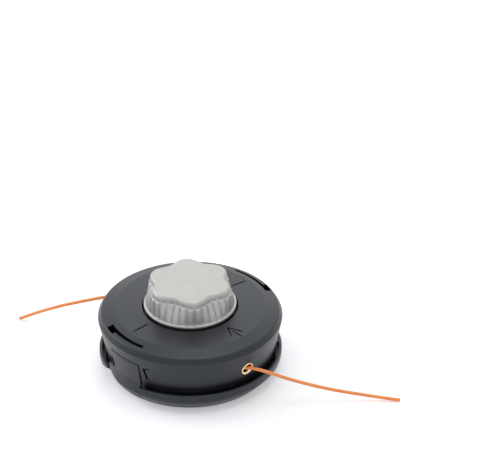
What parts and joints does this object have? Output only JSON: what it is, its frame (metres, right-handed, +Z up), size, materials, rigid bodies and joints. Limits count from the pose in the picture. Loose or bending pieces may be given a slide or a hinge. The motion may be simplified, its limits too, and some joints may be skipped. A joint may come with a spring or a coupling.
{
  "type": "trimmer head",
  "caption": "Round bump-feed line trimmer head: black snap-together housing, fluted metal bump knob on top, line ends leaving metal eyelets on opposite sides.",
  "frame": {"origin": "on the axis of rotation, at the face that rests on the ground and meets the gearbox", "axes": "+Z up along the axis of rotation towards the bump knob; +X through one eyelet; the latches lie on +Y and -Y"},
  "size_m": [0.2551, 0.1465, 0.069],
  "materials": {
    "black_plastic": "fine moulded texture, satin",
    "spool_plastic": "moulded, satin",
    "cast_aluminium": "cast, satin",
    "eyelet_metal": "turned and polished",
    "steel": "zinc plated",
    "orange_line": "extruded nylon, slightly see-through"
  },
  "bodies": {
    "root": {"base_dish": "black_plastic", "arbor_nut": "steel", "shell": "black_plastic", "eyelet_right": "eyelet_metal", "eyelet_left": "eyelet_metal", "line_right": "orange_line", "line_left": "orange_line", "feed_spring": "steel"},
    "plunger": {"thrust_washer": "steel"},
    "spool": {"spool": "spool_plastic", "winding_lower": "orange_line", "winding_upper": "orange_line", "bump_knob": "cast_aluminium", "knob_screws": "steel"}
  },
  "joints": [
    {"name": "bump", "type": "slide", "parent": "root", "child": "plunger", "axis": [0, 0, -1], "range_m": [0, 0.007], "stiffness_N_per_m": 2500, "springref_m": -0.012, "deforming": ["feed_spring"]},
    {"name": "spool_turn", "type": "hinge", "parent": "plunger", "child": "spool", "pos_m": [0, 0, 0.03], "axis": [0, 0, 1], "continuous": true}
  ]
}
